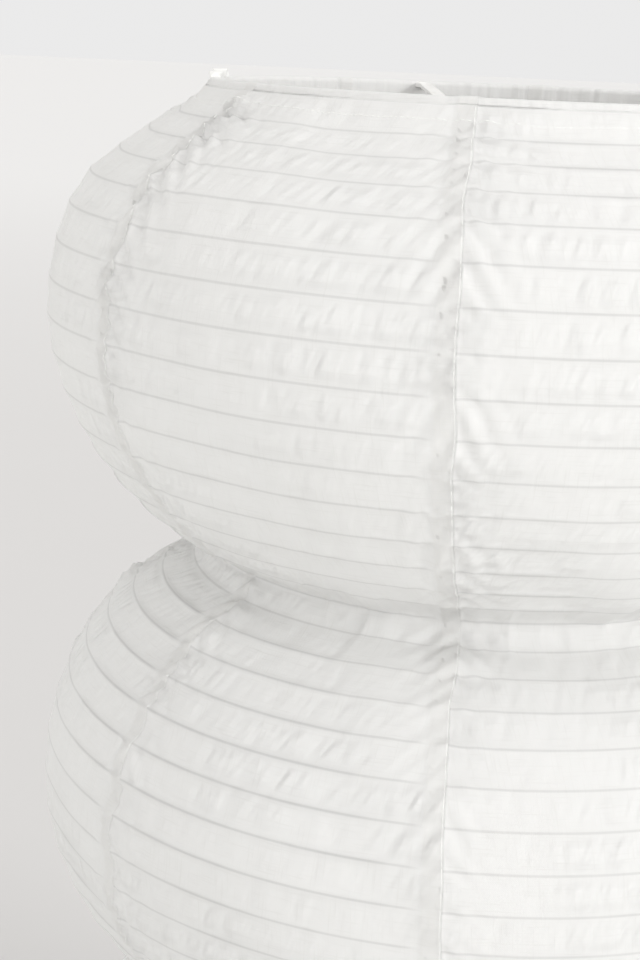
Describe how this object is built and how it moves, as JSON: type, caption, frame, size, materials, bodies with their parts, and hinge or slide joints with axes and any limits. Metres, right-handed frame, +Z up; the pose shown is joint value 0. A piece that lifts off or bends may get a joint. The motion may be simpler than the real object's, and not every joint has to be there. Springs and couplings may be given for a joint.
{
  "type": "lantern floor lamp",
  "caption": "Floor lamp: a white sewn cloth lantern of stacked round bulges on wire hoops, hung on a slim steel stand that carries its bulbs inside.",
  "frame": {"origin": "on the lamp's vertical axis at floor level, under the foot pads", "axes": "+Z up along the pole; +X towards the lower lampholder; -Y is the front; the cable inlet is in the base plate, between +X and +Y"},
  "size_m": [0.594, 0.594, 0.9654],
  "materials": {
    "lantern_cloth": "thin white plain-woven cloth, slightly see-through, lightly creased",
    "hoop_wire": "drawn spring wire, dull",
    "white_steel": "satin white powder coat",
    "zinc_steel": "zinc plated, satin",
    "holder_plastic": "moulded white plastic, fine matt grain",
    "cap_metal": "rolled bright metal with a screw thread",
    "frosted_glass": "white frosted, satin",
    "pad_rubber": "matt grey rubber"
  },
  "bodies": {
    "stand": {"foot_bar_across": "white_steel", "foot_bar_along": "white_steel", "base_plate": "white_steel", "pole_lower": "white_steel", "pole_middle": "white_steel", "pole_upper": "white_steel", "pole_cap": "white_steel", "bracket_lower": "white_steel", "bracket_upper": "white_steel", "foot_pads": "pad_rubber", "base_bolts": "zinc_steel", "pole_screw": "zinc_steel", "bracket_screws": "zinc_steel", "cable_inlet": "holder_plastic", "holder_nuts": "zinc_steel", "lampholder_lower": "holder_plastic", "lampholder_upper": "holder_plastic"},
    "shade": {"cloth_gore_1": "lantern_cloth", "cloth_gore_2": "lantern_cloth", "cloth_gore_3": "lantern_cloth", "cloth_gore_4": "lantern_cloth", "cloth_gore_5": "lantern_cloth", "cloth_gore_6": "lantern_cloth", "cloth_gore_7": "lantern_cloth", "cloth_gore_8": "lantern_cloth", "hoops_bottom_bulge": "hoop_wire", "hoops_middle_bulge": "hoop_wire", "hoops_top_bulge": "hoop_wire", "waist_hoops": "hoop_wire", "rim_ring": "white_steel", "foot_ring": "white_steel", "spider_hub": "white_steel", "spider_arms": "white_steel"},
    "finial": {"finial": "white_steel"},
    "bulb_lower": {"bulb_cap_lower": "cap_metal", "bulb_glass_lower": "frosted_glass"},
    "bulb_upper": {"bulb_cap_upper": "cap_metal", "bulb_glass_upper": "frosted_glass"}
  },
  "joints": [
    {"name": "shade_lift", "type": "slide", "parent": "stand", "child": "shade", "axis": [0, 0, 1], "range_m": [0, 0.95]},
    {"name": "finial_turn", "type": "hinge", "parent": "shade", "child": "finial", "pos_m": [0, 0, 0.929], "axis": [0, 0, 1], "range_deg": [0, 1080]},
    {"name": "bulb_turn_lower", "type": "hinge", "parent": "stand", "child": "bulb_lower", "pos_m": [0.058, 0, 0.2], "axis": [0, 0, 1], "range_deg": [0, 900]},
    {"name": "bulb_turn_upper", "type": "hinge", "parent": "stand", "child": "bulb_upper", "pos_m": [-0.058, 0, 0.67], "axis": [0, 0, 1], "range_deg": [0, 900]}
  ]
}
